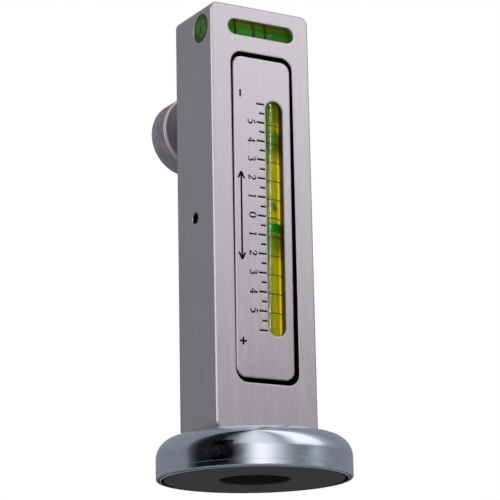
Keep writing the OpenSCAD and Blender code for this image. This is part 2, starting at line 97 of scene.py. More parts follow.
# The scale vials on the carriage: middle of the bore from the pivot, half length of the tube and of the
# plate's slot, length of a degree, number of degrees each way, and side of the bar
VIAL_BORE_R = 3.0
VIAL_R = 4.0
PLUG_LEN = 2.5
CAMBER = {"x": 4.0, "y": -5.25, "mid": 0.25, "half": 41.05, "slot": 35.1,
          "step": 5.6, "count": 6, "side": -1}
CASTER = {"x": -4.0, "y": 5.25, "mid": -10.3, "half": 21.0, "slot": 17.1,
          "step": 2.5, "count": 6, "side": 1}
# The plates' slots, and the marks and numbers beside them
SLOT_HALF = 2.85
MARK_GAP = 0.45
MARK_LONG = 2.6
MARK_SHORT = 1.7
MARK_W = 0.4
MARK_DEPTH = 0.15
NUMBER_GAP = 0.5
PAINT = 0.02

# A fluid's rod is wider than its bore by WETTED and ends short of the plugs by SHORT
WETTED = 0.03
SHORT = 0.02
# Printed lines start just off a tube and stand out a little
OFF_TUBE = 0.002
PRINT = 0.03

# The cross vial, from the bar's middle
CROSS_Y = -4.7
CROSS_Z = 131.2
CROSS_R = 4.25
CROSS_BORE_R = 3.1
CROSS_HALF = 16.3
CROSS_PLUG = 3.0
CROSS_RINGS = (-7.24, 2.83)
CROSS_RING_W = 0.56
CROSS_BUBBLE_X = -3.4
CROSS_BUBBLE_LEN = 7.4

# The adjusting screw and its knob, from the bar's middle
KNOB_Z = 110.7
COLLAR_Y = 22.45
HEAD_Y = 27.45
KNOB_END_Y = 36.45
KNOB_R = 11.8
COLLAR_R = 6.0
KNOB_CHAMFER = 0.6
KNURL_TEETH = 96
KNURL_DEPTH = 0.28
THREAD_R = 3.0
THREAD_DEPTH = 0.56
PITCH = 1.0
NOSE_R = 2.0
NOSE_Y = 2.724
NOSE_LEN = 2.6


def in_bar(x, y, z):
    """A point given from the bar's middle at the height of the magnet's face."""
    return Vector((x, y, z)) + BAR


def on_carriage(x, y, z):
    """A point given on the carriage, from its pivot."""
    c, s = math.cos(REST_TILT), math.sin(REST_TILT)
    return Vector((x, c * y - s * z, s * y + c * z)) + PIVOT


# Meshes


def placed(name, data):
    """A new object in the scene."""
    obj = bpy.data.objects.new(name, data)
    bpy.context.scene.collection.objects.link(obj)
    return obj


def make(name, points, faces, body, slot, mats, smooth=True, sharp=None):
    """A mesh piece from points in millimetres, riding on a body. sharp is an angle in degrees."""
    mesh = bpy.data.meshes.new(name)
    mesh.from_pydata([Vector(p) * MM for p in points], [], faces)
    mesh.validate()
    work = bmesh.new()
    work.from_mesh(mesh)
    bmesh.ops.recalc_face_normals(work, faces=work.faces)
    work.to_mesh(mesh)
    work.free()
    for polygon in mesh.polygons:
        polygon.use_smooth = smooth
    if sharp:
        mesh.set_sharp_from_angle(angle=math.radians(sharp))
    for mat in mats:
        mesh.materials.append(mat)
    obj = placed(name, mesh)
    if body:
        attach(obj, body)
    return obj


def grid_faces(rows, cols, closed=False):
    """Quads between rows, where each is a ring of cols points. If closed, the last row joins the first."""
    faces = []
    for i in range(rows if closed else rows - 1):
        k = (i + 1) % rows
        for j in range(cols):
            m = (j + 1) % cols
            faces.append((i * cols + j, k * cols + j, k * cols + m, i * cols + m))
    return faces


def end_caps(rows, cols):
    """The faces that close the first and the last ring."""
    last = (rows - 1) * cols
    return [tuple(range(cols)), tuple(reversed(range(last, last + cols)))]


def joined(parts):
    """One list of points and one of faces from several."""
    points, faces = [], []
    for part_points, part_faces in parts:
        base = len(points)
        points += part_points
        faces += [tuple(base + k for k in face) for face in part_faces]
    return points, faces


def turned(profile, place, steps, start=0.0):
    """Points of a profile of (radius, along) pairs turned about an axis, a ring for each pair."""
    points = []
    for r, along in profile:
        for j in range(steps):
            a = start + 2 * math.pi * j / steps
            points.append(place(r * math.cos(a), r * math.sin(a), along))
    return points


def wrap_uv(obj, rows, cols):
    """Texture coordinates of a turned mesh: u once around from its seam, and v from rows, a value a ring."""
    mesh = obj.data
    layer = mesh.uv_layers.new(name="UVMap")
    for polygon in mesh.polygons:
        columns = [mesh.loops[i].vertex_index % cols for i in polygon.loop_indices]
        across = max(columns) - min(columns) > cols / 2
        for i, column in zip(polygon.loop_indices, columns):
            row = mesh.loops[i].vertex_index // cols
            u = column + (cols if across and column < cols / 2 else 0)
            layer.data[i].uv = (u / cols, rows[row])


def tube(path, radius, sides):
    """A round wire along a path of points, its section carried along the path without twist."""
    points, normal = [], None
    for i, p in enumerate(path):
        ahead = (path[min(i + 1, len(path) - 1)] - path[max(i - 1, 0)]).normalized()
        if normal is None:
            normal = ahead.orthogonal().normalized()
        normal = (normal - ahead * normal.dot(ahead)).normalized()
        side = ahead.cross(normal)
        for k in range(sides):
            a = 2 * math.pi * k / sides
            points.append(p + radius * (math.cos(a) * normal + math.sin(a) * side))
    return points, grid_faces(len(path), sides) + end_caps(len(path), sides)


def box(lo, hi, place):
    """A box between two corners."""
    points = [place(x, y, z) for x in (lo[0], hi[0]) for y in (lo[1], hi[1]) for z in (lo[2], hi[2])]
    quads = ((0, 1, 3, 2), (4, 6, 7, 5), (0, 4, 5, 1), (2, 3, 7, 6), (0, 2, 6, 4), (1, 5, 7, 3))
    return points, list(quads)


# Materials


class Nodes:
    """Short calls that add nodes to a tree and give their outputs."""

    def __init__(self, tree, shader="Principled BSDF"):
        self.tree = tree
        self.shader = tree.nodes[shader]

    def new(self, kind):
        """A node of a kind."""
        return self.tree.nodes.new("ShaderNode" + kind)

    def feed(self, socket, value):
        """Link a socket to another node's output, or set it to a value."""
        if isinstance(value, bpy.types.NodeSocket):
            self.tree.links.new(value, socket)
        else:
            socket.default_value = value

    def put(self, **values):
        """Feed the shader's inputs, named with _ for a space."""
        for name, value in values.items():
            self.feed(self.shader.inputs[name.replace("_", " ")], value)

    def surface(self, output):
        """Show another shader in place of the first one, which goes."""
        self.tree.nodes.remove(self.shader)
        self.feed(self.tree.nodes["Material Output"].inputs["Surface"], output)

    def math(self, operation, *values):
        """The result of a sum, where each value is a number or another node's output."""
        node = self.new("Math")
        node.operation = operation
        for socket, value in zip(node.inputs, values):
            self.feed(socket, value)
        return node.outputs[0]

    def mapped(self, scale=(1.0, 1.0, 1.0), shift=(0.0, 0.0, 0.0), turn=(0.0, 0.0, 0.0)):
        """Object coordinates, turned, stretched by scale and moved by shift."""
        node = self.new("Mapping")
        self.feed(node.inputs["Vector"], self.new("TexCoord").outputs["Object"])
        for name, value in (("Scale", scale), ("Location", shift), ("Rotation", turn)):
            node.inputs[name].default_value = value
        return node.outputs["Vector"]

    def axes(self, vector):
        """The three numbers of a vector."""
        node = self.new("SeparateXYZ")
        self.feed(node.inputs[0], vector)
        return node.outputs

    def noise(self, scale, detail=3.0, rough=0.5, grain=(1.0, 1.0, 1.0)):
        """Noise from 0 to 1 over the object, with scale waves to the metre times the grain."""
        node = self.new("TexNoise")
        for name, value in (("Scale", scale), ("Detail", detail), ("Roughness", rough)):
            node.inputs[name].default_value = value
        self.feed(node.inputs["Vector"], self.mapped(grain))
        return node.outputs["Fac"]

    def ramp(self, fac, stops):
        """Colour from stops of (place, colour)."""
        node = self.new("ValToRGB")
        elements = node.color_ramp.elements
        while len(elements) < len(stops):
            elements.new(0.5)
        for element, (place, colour) in zip(elements, stops):
            element.position = place
            element.color = (*colour, 1.0)
        self.feed(node.inputs["Fac"], fac)
        return node.outputs["Color"]

    def level(self, fac, stops):
        """Number from stops of (place, number)."""
        return self.ramp(fac, [(place, (v, v, v)) for place, v in stops])

    def mix(self, fac, first, second, blend="MIX"):
        """A mix of two colours, each a tuple or another node's output."""
        node = self.new("Mix")
        node.data_type = "RGBA"
        node.blend_type = blend
        for index, value in ((0, fac), (6, first), (7, second)):
            self.feed(node.inputs[index], (*value, 1.0) if isinstance(value, tuple) else value)
        return node.outputs[2]

    def bump(self, height, strength, distance, edge=None):
        """Fine relief. edge is the radius in metres to which the piece's sharp edges look rubbed round."""
        node = self.new("Bump")
        if edge:
            soft = self.new("Bevel")
            soft.samples = 6
            soft.inputs["Radius"].default_value = edge
            self.feed(node.inputs["Normal"], soft.outputs[0])
        node.inputs["Strength"].default_value = strength
        node.inputs["Distance"].default_value = distance
        self.feed(node.inputs["Height"], height)
        self.put(Normal=node.outputs["Normal"])

    def in_box(self, lo, hi, carriage=False):
        """1 inside a box given in millimetres, of the frame or from the carriage's pivot, 0 outside."""
        lean = -REST_TILT if carriage else 0.0
        origin = PIVOT if carriage else Vector()
        shift = Matrix.Rotation(lean, 3, "X") @ origin * -MM
        inside = None
        for axis, a, b in zip(self.axes(self.mapped(shift=shift, turn=(lean, 0.0, 0.0))), lo, hi):
            off = self.math("ABSOLUTE", self.math("SUBTRACT", axis, (a + b) / 2 * MM))
            here = self.math("LESS_THAN", off, (b - a) / 2 * MM)
            inside = here if inside is None else self.math("MULTIPLY", inside, here)
        return inside


def new_material(name):
    """A material and its nodes."""
    mat = bpy.data.materials.new(name)
    mat.use_nodes = True
    return mat, Nodes(mat.node_tree)


def brushed(name, dark, light, rough, grain=(1.0, 1.0, 0.02), deep=(), edge=0.0006):
    """Brushed metal with its grain along the least stretched axis.

    deep lists the places of painted light and shade, each with a tint and a roughness of its own.
    """
    mat, tree = new_material(name)
    fine = tree.noise(5200.0, detail=2.0, rough=0.6, grain=grain)
    streak = tree.noise(3600.0, rough=0.6, grain=tuple(g * 0.25 for g in grain))
    cloud = tree.noise(45.0, detail=2.0)
    mixed = tree.math("MULTIPLY", fine, 0.6)
    for layer, share in ((streak, 0.25), (cloud, 0.15)):
        mixed = tree.math("MULTIPLY_ADD", layer, share, mixed)
    colour = tree.ramp(mixed, [(0.38, dark), (0.62, light)])
    gloss = tree.level(mixed, [(0.35, rough - 0.04), (0.65, rough + 0.05)])
    # Paint light and shade in the places that deep lists
    for place, tint, own_rough in deep:
        inside = place(tree)
        colour = tree.mix(inside, colour, tint)
        gloss = tree.mix(inside, gloss, (own_rough, own_rough, own_rough))
    tree.put(Base_Color=colour, Roughness=gloss, Metallic=1.0)
    tree.bump(fine, strength=0.25, distance=0.00001, edge=edge)
    return mat


def steel(name, colour, rough, metallic=1.0, spread=0.15):
    """Plain machined metal with an even fine texture and slight wear."""
    mat, tree = new_material(name)
    worn = tree.noise(220.0, detail=4.0, rough=0.6)
    low = tuple(c * (1 - spread) for c in colour)
    high = tuple(min(1.0, c * (1 + spread)) for c in colour)
    tree.put(Base_Color=tree.ramp(worn, [(0.35, low), (0.65, high)]),
             Roughness=tree.level(worn, [(0.3, rough - 0.06), (0.7, rough + 0.08)]), Metallic=metallic)
    tree.bump(tree.noise(2500.0), strength=0.3, distance=0.00001)
    return mat


def turned_face(name, colour, rough):
    """Lathe-turned metal: fine rings about the knob's axis, with the stretched gloss that they give."""
    mat, tree = new_material(name)
    axis = in_bar(0, 0, KNOB_Z) * MM
    length = tree.new("VectorMath")
    length.operation = "LENGTH"
    tree.feed(length.inputs[0], tree.mapped((1.0, 0.0, 1.0), (-axis.x, 0.0, -axis.z)))
    rings = tree.new("TexNoise")
    rings.noise_dimensions = "1D"
    rings.inputs["Scale"].default_value = 9000.0
    rings.inputs["Detail"].default_value = 2.0
    tree.feed(rings.inputs["W"], length.outputs["Value"])
    tangent = tree.new("Tangent")
    tangent.direction_type = "RADIAL"
    tangent.axis = "Y"
    low = tuple(c * 0.8 for c in colour)
    tree.put(Base_Color=tree.ramp(rings.outputs["Fac"], [(0.35, low), (0.65, colour)]), Metallic=1.0,
             Roughness=rough, Anisotropic=0.85, Tangent=tangent.outputs[0])
    tree.bump(rings.outputs["Fac"], strength=0.2, distance=0.00001)
    return mat


def plastic(name, colour, rough=0.3, spread=0.2, scale=500.0, shine=0.5):
    """Plastic or paint whose colour and gloss vary a little over it."""
    mat, tree = new_material(name)
    worn = tree.noise(scale)
    low = tuple(c * (1 - spread) for c in colour)
    tree.put(Base_Color=tree.ramp(worn, [(0.35, low), (0.65, colour)]),
             Roughness=tree.level(worn, [(0.3, rough - 0.05), (0.7, rough + 0.08)]),
             Specular_IOR_Level=shine)
    tree.bump(worn, strength=0.2, distance=0.00002)
    return mat


def clear(name, colour, rough=0.05, ior=1.2):
    """Clear or tinted vial wall with faint smears."""
    mat, tree = new_material(name)
    smear = tree.noise(300.0, grain=(1.0, 1.0, 0.3))
    low = tuple(c * 0.96 for c in colour)
    tree.put(Base_Color=tree.ramp(smear, [(0.4, low), (0.6, colour)]), Roughness=rough,
             Transmission_Weight=1.0, IOR=ior)
    return mat


def dyed(name, around, along=None, second=None, ends=None, shade_patch=None, glow=0.45):
    """Dyed fluid, yellow-green of its own, painted with light and shade:
    colours once around its vial, which turn to the second ones where along says so.

    ends paints shade and light along the vial. shade_patch is painted shade: its reach along and around,
    and its tint. glow is painted light: the fluid glows in its own colours.
    """
    mat, tree = new_material(name)
    swirl = tree.noise(420.0, rough=0.6)
    wander = tree.math("MULTIPLY_ADD", swirl, 0.012, -0.006)
    uv = tree.axes(tree.new("TexCoord").outputs["UV"])
    u, v = [tree.math("ADD", axis, wander) for axis in uv[:2]]
    colour = tree.ramp(u, around)
    if second:
        colour = tree.mix(tree.level(v, along), colour, tree.ramp(u, second))
    # A dark patch of painted shade
    if shade_patch:
        where, side, tint = shade_patch
        amount = tree.level(tree.noise(1100.0, detail=2.0), [(0.35, 0.45), (0.6, 1.0)])
        for part in (tree.level(v, where), tree.level(u, side)):
            amount = tree.math("MULTIPLY", amount, part)
        colour = tree.mix(amount, colour, tint)
    # Painted shade and light along the vial
    if ends:
        colour = tree.mix(1.0, colour, tree.level(v, ends), "MULTIPLY")
    colour = tree.mix(1.0, colour, tree.level(swirl, [(0.3, 0.88), (0.7, 1.0)]), "MULTIPLY")
    # The fluid glows in its own colours, which is painted light
    tree.put(Base_Color=colour, Emission_Color=colour, Emission_Strength=glow, Roughness=0.3, IOR=1.33,
             Specular_IOR_Level=0.1)
    return mat


def chrome():
    """Plated cup: bright, with a faint haze, orange peel and rubbed spots."""
    mat, tree = new_material("cup_plating")
    haze = tree.noise(130.0, detail=5.0, rough=0.65, grain=(1.0, 1.0, 2.0))
    peel = tree.noise(70.0, detail=2.0)
    fine = tree.noise(420.0, detail=4.0, rough=0.7, grain=(1.0, 1.0, 5.0))
    tree.put(Base_Color=tree.ramp(haze, [(0.3, (0.58, 0.65, 0.77)), (0.7, (0.68, 0.75, 0.87))]),
             Roughness=tree.level(haze, [(0.35, 0.09), (0.65, 0.20)]), Metallic=1.0)
    tree.bump(tree.math("MULTIPLY_ADD", fine, 0.08, peel), strength=0.2, distance=0.0004)
    return mat


def ferrite():
    """Dull, almost black magnet with a fine grain."""
    mat, tree = new_material("ferrite")
    low, high = (0.0120, 0.0105, 0.0130), (0.0185, 0.0165, 0.0205)
    tree.put(Base_Color=tree.ramp(tree.noise(110.0), [(0.3, low), (0.7, high)]), Roughness=0.6,
             Specular_IOR_Level=0.08)
    tree.bump(tree.noise(2400.0, detail=4.0, rough=0.7), strength=0.4, distance=0.00003)
    return mat


def dress(node_name, mat):
    """Give a node of the frame its material."""
    mesh = frame["nodes"][node_name].data
    mesh.materials.clear()
    mesh.materials.append(mat)


def deep_in_bar(tree):
    """The pocket, the rear window and the pivot bores, painted dark with shade inside."""
    left, right = POCKET_X - POCKET_HALF - SKIN, POCKET_X + POCKET_HALF + SKIN
    pocket = (left, BAR_RIM - FACE_Y, POCKET_Z[0] - SKIN), (right, WALL_Y + SKIN, POCKET_Z[1] + SKIN)
    window = (left, WALL_Y, WINDOW_Z[0] - SKIN), (right, FACE_Y - BAR_RIM, WINDOW_Z[1] + SKIN)
    boxes = [tree.in_box(in_bar(*lo), in_bar(*hi)) for lo, hi in (pocket, window, BORES)]
    return tree.math("MAXIMUM", tree.math("MAXIMUM", boxes[0], boxes[1]), boxes[2])


def depths(vial, rim):
    """From behind a vial's plate to a little below its face, the lower y first."""
    return sorted((vial["side"] * (PLATE_FACE - rim), vial["side"] * BEHIND_PLATE))


def slot_wall(vial):
    """The walls of a plate's slot, painted with a reflection of the fluid in the vial beside them."""
    y_lo, y_hi = depths(vial, SLOT_RIM)
    x, z, half = vial["x"], vial["mid"], vial["slot"]
    reach = SLOT_HALF + SLOT_SKIN
    lo, hi = (x - reach, y_lo, z - half), (x + reach, y_hi, z + half)
    return lambda tree: tree.in_box(lo, hi, carriage=True)


def plate_sides(vial):
    """The sides of a plate, painted dark with the shadow of the gap round it."""
    y_lo, y_hi = depths(vial, PLATE_RIM)
    wide, long, deep = PLATE_HALF + 1.5, 60.0, 20.0

    def find(tree):
        level_with = tree.in_box((-wide, y_lo, -long), (wide, y_hi, long), carriage=True)
        within = tree.in_box((-PLATE_HALF, -deep, -long), (PLATE_HALF, deep, long), carriage=True)
        return tree.math("GREATER_THAN", tree.math("SUBTRACT", level_with, within), 0.5)

    return find


def rubbed_rim(tree):
    """The left rim of the front plate's face, painted with a highlight."""
    wide, high, long = 0.42, 1.0, 60.0
    lo, hi = (-PLATE_HALF, -PLATE_FACE - high, -long), (wide - PLATE_HALF, PLATE_RIM - PLATE_FACE, long)
    return tree.in_box(lo, hi, carriage=True)


# Painted shade, the fluids' painted reflection on slot walls and a plate rim's painted highlight
SHADE = (0.018, 0.017, 0.019)
PAINTED_FLUID_REFLECTION = (0.16, 0.14, 0.03)
PAINTED_RIM_HIGHLIGHT = (0.80, 0.77, 0.82)
PLATE_DARK = (0.560, 0.528, 0.565)
PLATE_LIGHT = (0.650, 0.615, 0.655)
PLATE_ROUGH = 0.33
DULL = 0.6


def plate_metal(name, vial, more=()):
    """The metal of a plate, with painted shade on its sides and a painted fluid reflection in its slot."""
    deep = [(slot_wall(vial), PAINTED_FLUID_REFLECTION, DULL), (plate_sides(vial), SHADE, DULL), *more]
    return brushed(name, PLATE_DARK, PLATE_LIGHT, PLATE_ROUGH, deep=deep, edge=0.0008)


# The bar is painted with shade in its pocket, rear window and bores
aluminium = brushed("bar_aluminium", (0.555, 0.520, 0.558), (0.640, 0.602, 0.643), rough=0.35,
                    deep=[(deep_in_bar, SHADE, DULL)])
# The front plate's left rim carries a painted highlight
camber_metal = plate_metal("camber_aluminium", CAMBER, [(rubbed_rim, PAINTED_RIM_HIGHLIGHT, PLATE_ROUGH)])
caster_metal = plate_metal("caster_aluminium", CASTER)
milled = brushed("block_aluminium", (0.20, 0.20, 0.21), (0.28, 0.28, 0.29), rough=0.45,
                 grain=(0.02, 1.0, 1.0))
dress("body_frame", aluminium)
dress("camber_plate", camber_metal)
dress("caster_plate", caster_metal)
dress("carriage_block", milled)

black_oxide = steel("black_oxide", (0.045, 0.045, 0.050), rough=0.42)
zinc = steel("bright_zinc", (0.56, 0.56, 0.57), rough=0.3)
knurled = steel("knob_knurl", (0.40, 0.365, 0.425), rough=0.5, metallic=0.55)
lathe_turned = turned_face("knob_turned", (0.60, 0.56, 0.59), rough=0.34)
spring_wire = steel("spring_wire", (0.42, 0.42, 0.44), rough=0.28)
for node_name in ("pivot_screws", "base_screw", "base_washer", "thrust_button"):
    dress(node_name, black_oxide)
for node_name in ("camber_plate_screws", "caster_plate_screws", "knob_washer"):
    dress(node_name, zinc)
dress("magnet_cup", chrome())
dress("ring_magnet", ferrite())

acrylic = clear("vial_acrylic", (0.97, 0.98, 0.94), rough=0.1, ior=1.3)
green_acrylic = clear("green_acrylic", (0.84, 0.95, 0.80))
dress("camber_vial_plugs", plastic("olive_plug", (0.10, 0.12, 0.01)))
dress("caster_vial_plugs", plastic("olive_plug_rear", (0.10, 0.12, 0.01)))
green_plug = plastic("green_plug", (0.075, 0.190, 0.035), rough=0.25, spread=0.6, scale=420.0, shine=0.15)
dress("cross_vial_plugs", green_plug)
end_green = plastic("ground_end", (0.050, 0.150, 0.040), rough=0.4, spread=0.3, scale=700.0, shine=0.2)
ink = plastic("black_paint", (0.010, 0.009, 0.011), rough=0.5, shine=0.05)


# Vials


TUBE_STEPS = 96
ROD_STEPS = 72
RING_STEPS = 64


def rod_profile(radius, half, bend):
    """Outline of a rod along its axis from one end to the other, each end rounded by bend."""
    profile = []
    steps = 8
    for i in range(steps + 1):
        a = math.pi / 2 * i / steps
        r = radius - bend + bend * math.sin(a)
        profile.append((max(r, 0.001), -half + bend * (1 - math.cos(a))))
    return profile + [(r, -z) for r, z in reversed(profile)]


def vial_rod(name, profile, place, seam, body, slot, mat):
    """A closed rod with texture coordinates once around it and along it."""
    points = turned(profile, place, ROD_STEPS, seam)
    faces = grid_faces(len(profile), ROD_STEPS) + end_caps(len(profile), ROD_STEPS)
    obj = make(name, points, faces, body, slot, [mat], sharp=60)
    low, high = profile[0][1], profile[-1][1]
    wrap_uv(obj, [(along - low) / (high - low) for _, along in profile], ROD_STEPS)
    return obj


def vial_place(vial):
    """A function that places points from the middle of a scale vial's bore."""
    return lambda a, b, along: on_carriage(vial["x"] + a, vial["y"] + b, vial["mid"] + along)


def print_profile(radius, along, width):
    """Section of a printed line round a tube of some radius."""
    low, high = along - width / 2, along + width / 2
    inner, outer = radius + OFF_TUBE, radius + PRINT
    return [(inner, low), (outer, low), (outer, high), (inner, high)]


def vial_band(vial, along, reach):
    """A printed line part of the way round the front of a vial's tube, as a thin closed strip."""
    steps, width = 24, 0.26
    place = vial_place(vial)
    points = []
    for i in range(steps + 1):
        a = -reach + 2 * reach * i / steps
        for r, z in print_profile(VIAL_R, along, width):
            points.append(place(r * math.sin(a), vial["side"] * r * math.cos(a), z))
    return points, grid_faces(steps + 1, 4) + end_caps(steps + 1, 4)


# Painted light and shade once around a vial, outward at a half: yellow-green, a painted bright line
# where light gathers, then painted shade
OLIVE_AROUND = [
    (0.417, (0.105, 0.130, 0.010)),
    (0.467, (0.180, 0.195, 0.002)),
    (0.530, (0.270, 0.250, 0.002)),
    (0.570, (0.270, 0.225, 0.001)),
    (0.600, (0.370, 0.290, 0.001)),
    (0.622, (0.740, 0.530, 0.010)),
    (0.636, (1.000, 0.730, 0.030)),
    (0.662, (1.000, 0.730, 0.030)),
    (0.697, (0.500, 0.310, 0.000)),
    (0.735, (0.130, 0.080, 0.000)),
    (0.780, (0.045, 0.050, 0.005)),
]
GREEN_AROUND = [
    (0.417, (0.060, 0.095, 0.006)),
    (0.467, (0.065, 0.120, 0.002)),
    (0.530, (0.055, 0.110, 0.001)),
    (0.590, (0.070, 0.095, 0.000)),
    (0.640, (0.150, 0.130, 0.003)),
    (0.700, (0.045, 0.045, 0.000)),
]
scale_fluid = dyed(
    "scale_fluid",
    OLIVE_AROUND,
    along=[(0.33, 0.0), (0.39, 0.85), (0.442, 1.0), (0.46, 0.0), (0.715, 0.0), (0.775, 1.0), (0.835, 1.0),
           (0.852, 0.45), (0.872, 0.45), (0.892, 0.9)],
    second=GREEN_AROUND,
    ends=[(0.0, 0.35), (0.05, 0.95), (0.2, 0.95), (0.45, 1.05), (0.93, 1.0), (0.955, 0.5), (1.0, 0.3)],
    glow=0.62,
)
# The bubble's painted light and shade around it, and at its ends
BUBBLE_AROUND = [
    (0.417, (0.160, 0.190, 0.015)),
    (0.500, (0.220, 0.245, 0.003)),
    (0.570, (0.260, 0.240, 0.003)),
    (0.612, (0.600, 0.440, 0.010)),
    (0.636, (0.980, 0.700, 0.030)),
    (0.662, (0.980, 0.700, 0.030)),
    (0.695, (0.460, 0.280, 0.000)),
    (0.735, (0.120, 0.070, 0.000)),
]
BUBBLE_END_AROUND = [
    (0.440, (0.050, 0.135, 0.008)),
    (0.500, (0.003, 0.115, 0.000)),
    (0.620, (0.005, 0.110, 0.000)),
    (0.680, (0.017, 0.060, 0.000)),
]
scale_bubble = dyed(
    "scale_bubble",
    BUBBLE_AROUND,
    along=[(0.0, 1.0), (0.28, 1.0), (0.34, 0.0)],
    second=BUBBLE_END_AROUND,
    ends=[(0.0, 0.7), (0.06, 1.0), (0.94, 1.0), (1.0, 0.6)],
    shade_patch=([(0.58, 0.0), (0.74, 1.0), (0.84, 1.0), (0.97, 0.0)],
            [(0.44, 0.3), (0.51, 1.0), (0.56, 1.0), (0.60, 0.0)],
            (0.035, 0.055, 0.003)),
    glow=0.62,
)
# The cross vial's painted light and shade around it
CROSS_AROUND = [
    (0.40, (0.030, 0.14, 0.030)),
    (0.46, (0.028, 0.15, 0.016)),
    (0.52, (0.020, 0.15, 0.006)),
    (0.57, (0.045, 0.12, 0.004)),
    (0.61, (0.13, 0.17, 0.006)),
    (0.66, (0.21, 0.20, 0.020)),
    (0.72, (0.10, 0.10, 0.015)),
]
cross_fluid = dyed(
    "cross_fluid",
    CROSS_AROUND,
    ends=[(0.0, 0.5), (0.12, 0.85), (0.2, 1.0), (0.60, 0.95), (0.72, 0.7), (0.82, 0.9), (1.0, 0.5)],
)
cross_bubble = dyed(
    "cross_bubble",
    CROSS_AROUND,
    ends=[(0.0, 0.5), (0.06, 1.15), (0.78, 1.1), (0.84, 0.25), (0.93, 0.2), (0.97, 0.5)],
)

# The seam of the texture coordinates is at the back of each vial, so u is a half where it faces outward
BEHIND_FRONT = math.radians(90)
BEHIND_REAR = math.radians(-90)


def vial_tube(name, outer, bore, half, place, body, mats):
    """Clear tube with its edges broken, in place of a node. A second material is for its ground ends."""
    edge = 0.12
    profile = [(bore + edge, -half), (outer - edge, -half), (outer, -half + edge), (outer, half - edge),
               (outer - edge, half), (bore + edge, half), (bore, half - edge), (bore, -half + edge)]
    end_rows = (0, 1, 3, 4)
    points = turned(profile, place, TUBE_STEPS)
    faces = grid_faces(len(profile), TUBE_STEPS, closed=True)
    obj = make(name + "_polished", points, faces, body, "vial_tube", mats, sharp=30)
    if len(mats) > 1:
        for index, polygon in enumerate(obj.data.polygons):
            polygon.material_index = 1 if index // TUBE_STEPS in end_rows else 0
    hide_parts(name)


def scale_vial(name, vial, bubble_len, bubble_at, seam):
    """Tube, fluid, bubble and printed lines of a scale vial."""
    place = vial_place(vial)
    vial_tube(name + "_vial_tube", VIAL_R, VIAL_BORE_R, vial["half"], place, "carriage", [acrylic])
    profile = rod_profile(VIAL_BORE_R + WETTED, vial["half"] - PLUG_LEN - SHORT, bend=0.5)
    fluid = vial_rod(name + "_fluid_fill", profile, place, seam, "carriage", "scale_fluid", scale_fluid)
    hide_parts(name + "_vial_fluid")

    def bubble_place(a, b, along):
        return place(a, b, along + bubble_at)

    profile = rod_profile(VIAL_BORE_R + 2 * WETTED, bubble_len / 2, bend=0.4)
    bubble = vial_rod(name + "_bubble_air", profile, bubble_place, seam, name + "_bubble", "bubble",
                      scale_bubble)
    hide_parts(name + "_bubble")
    rings = []
    long_reach, short_reach = math.radians(80), math.radians(52)
    for i in range(1 - vial["count"], vial["count"]):
        rings.append(vial_band(vial, i * vial["step"], long_reach if i % 2 == 0 else short_reach))
    make(name + "_graduations", *joined(rings), "carriage", None, [ink], sharp=50)


scale_vial("camber", CAMBER, bubble_len=10.0, bubble_at=0.8, seam=BEHIND_FRONT)
scale_vial("caster", CASTER, bubble_len=7.0, bubble_at=0.0, seam=BEHIND_REAR)


def cross_place(a, b, along):
    """Places points from the middle of the cross vial's bore."""
    return in_bar(along, CROSS_Y + a, CROSS_Z - b)


def cross_bubble_place(a, b, along):
    """Places points from the middle of the cross vial's bubble."""
    return cross_place(a, b, along + CROSS_BUBBLE_X)


vial_tube("cross_vial_tube", CROSS_R, CROSS_BORE_R, CROSS_HALF, cross_place, "body",
          [green_acrylic, end_green])
profile = rod_profile(CROSS_BORE_R + WETTED, CROSS_HALF - CROSS_PLUG - SHORT, bend=0.5)
fill = vial_rod("cross_fluid_fill", profile, cross_place, 0.0, "body", "cross_fluid", cross_fluid)
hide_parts("cross_vial_fluid")
profile = rod_profile(CROSS_BORE_R + 2 * WETTED, CROSS_BUBBLE_LEN / 2, bend=0.4)
air = vial_rod("cross_bubble_air", profile, cross_bubble_place, 0.0, "cross_bubble", "bubble", cross_bubble)
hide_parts("cross_bubble")
rings = []
for along in CROSS_RINGS:
    points = turned(print_profile(CROSS_R, along, CROSS_RING_W), cross_place, RING_STEPS)
    rings.append((points, grid_faces(4, RING_STEPS, closed=True)))
make("cross_graduations", *joined(rings), "body", None, [ink], sharp=50)


# Marks, numbers and signs on the plates


def scale_marks(name, vial, parts):
    """Paint in the engraved marks of a scale, with some parts to a degree."""
    ys = sorted((vial["side"] * (PLATE_FACE - MARK_DEPTH), vial["side"] * (PLATE_FACE + PAINT)))
    inner = vial["x"] + vial["side"] * (SLOT_HALF + MARK_GAP)
    found = []
    for i in range(-vial["count"] * parts, vial["count"] * parts + 1):
        length = MARK_LONG if i % parts == 0 else MARK_SHORT
        z = vial["mid"] + i * vial["step"] / parts
        xs = sorted((inner, inner + vial["side"] * length))
        half = MARK_W / 2 + 3 * PAINT
        found.append(box((xs[0], ys[0], z - half), (xs[1], ys[1], z + half), on_carriage))
    make(name, *joined(found), "carriage", None, [ink], smooth=False)


scale_marks("camber_marks", CAMBER, parts=2)
scale_marks("caster_marks", CASTER, parts=1)

